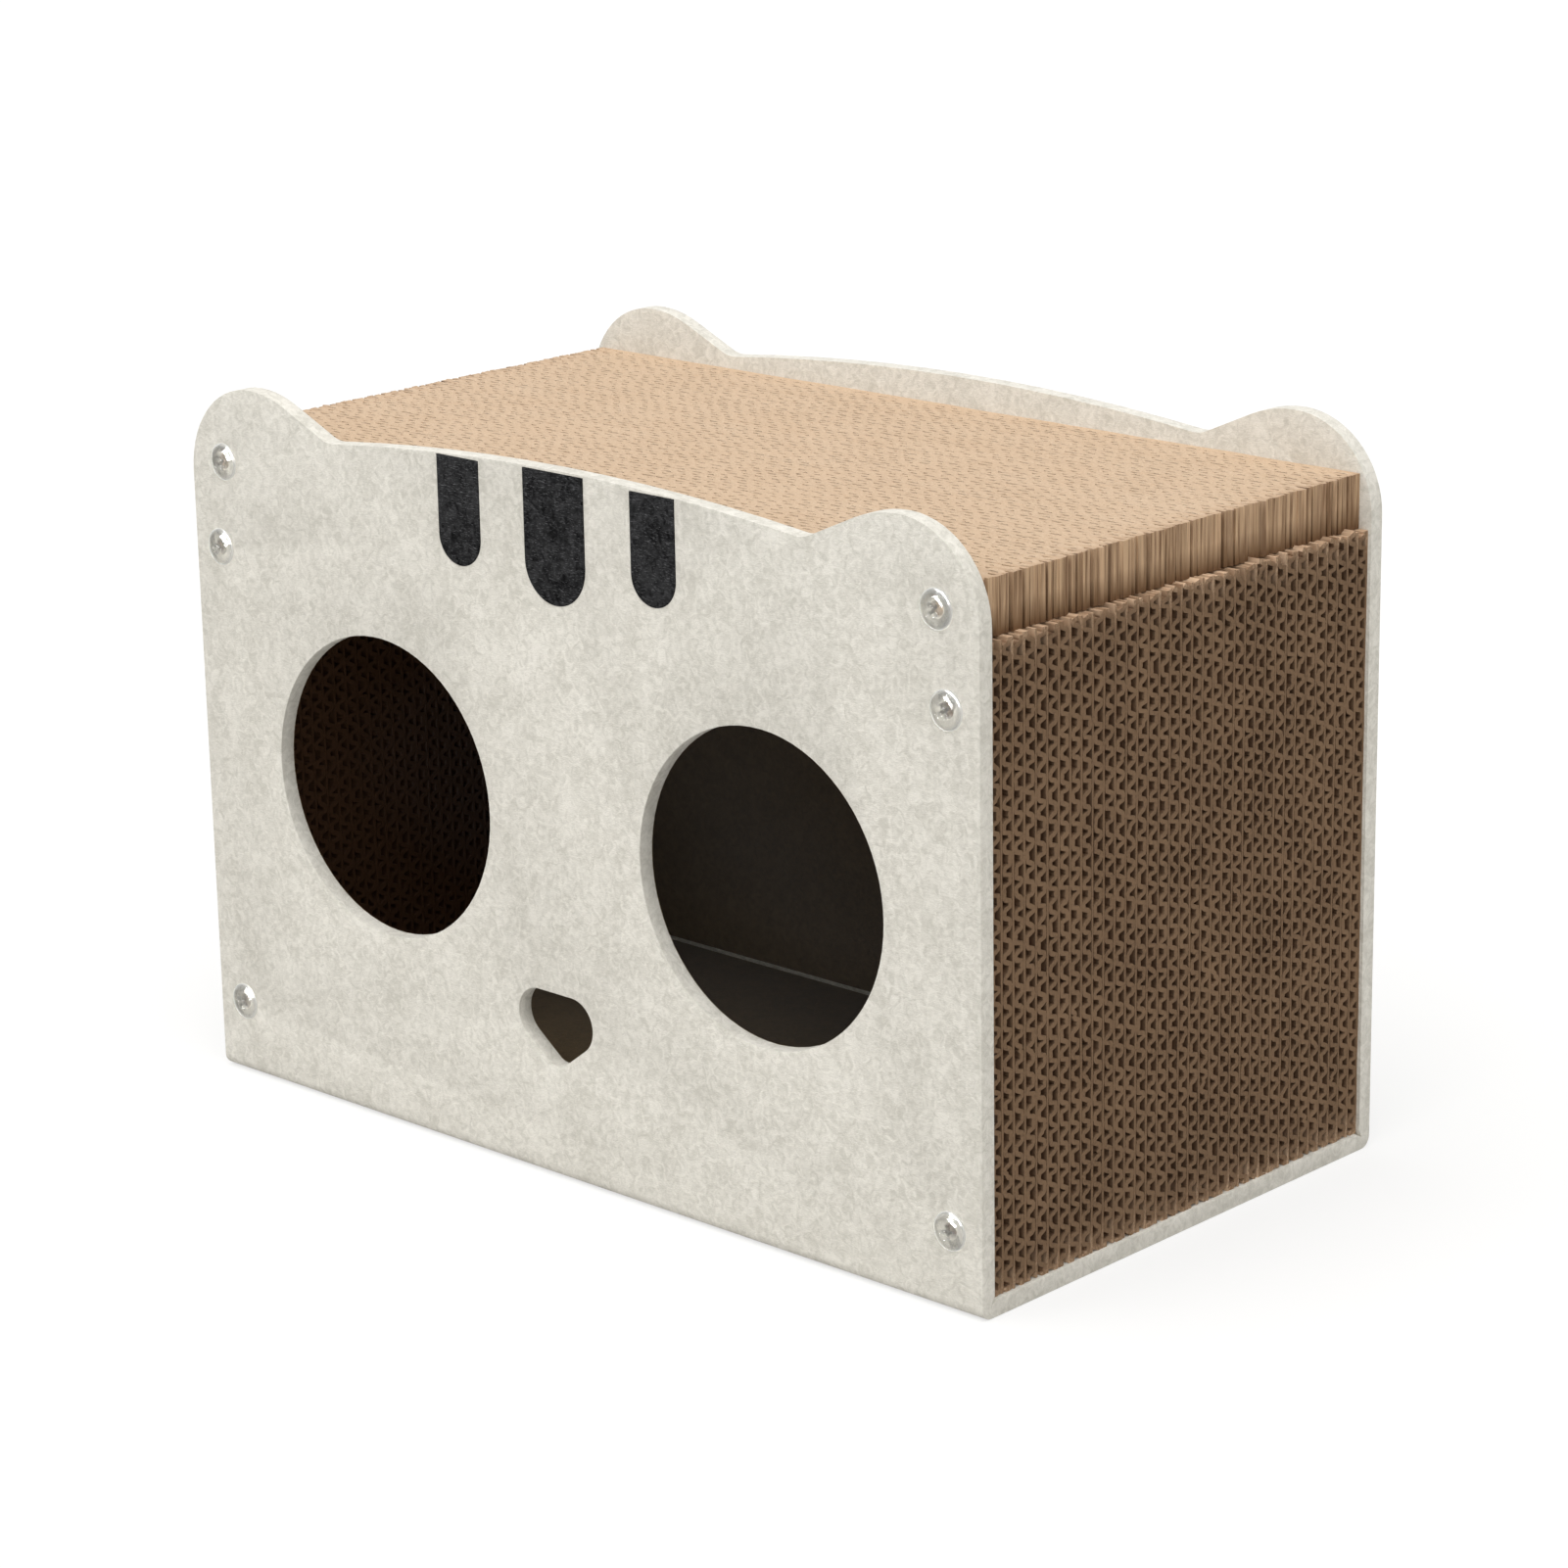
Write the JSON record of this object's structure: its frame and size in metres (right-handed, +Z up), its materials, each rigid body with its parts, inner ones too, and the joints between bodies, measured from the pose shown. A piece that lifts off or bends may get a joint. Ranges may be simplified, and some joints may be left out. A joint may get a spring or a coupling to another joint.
{
  "type": "cardboard cat house",
  "caption": "Box-shaped cat house: a folded felt wrap with ears, round entrances and dark stripes, closed by corrugated scratch boards on the top and both sides.",
  "frame": {"origin": "on the ground, in the middle of the footprint", "axes": "+X to the right seen from the front, +Y to the back, +Z up; the front panel with the holes faces -Y"},
  "size_m": [0.43, 0.2456, 0.3],
  "materials": {
    "pale_felt": "matte",
    "black_felt": "matte",
    "scratch_board": "matte",
    "side_board": "matte",
    "clear_plastic": "gloss"
  },
  "bodies": {
    "root": {"felt_wrap": "pale_felt", "top_scratch_board": "scratch_board", "left_side_board": "side_board", "right_side_board": "side_board", "left_stripe": "black_felt", "centre_stripe": "black_felt", "right_stripe": "black_felt", "front_left_top_screw": "clear_plastic", "front_left_upper_screw": "clear_plastic", "front_left_lower_screw": "clear_plastic", "front_right_top_screw": "clear_plastic", "front_right_upper_screw": "clear_plastic", "front_right_lower_screw": "clear_plastic", "back_left_top_screw": "clear_plastic", "back_left_upper_screw": "clear_plastic", "back_left_lower_screw": "clear_plastic", "back_right_top_screw": "clear_plastic", "back_right_upper_screw": "clear_plastic", "back_right_lower_screw": "clear_plastic"}
  },
  "joints": []
}
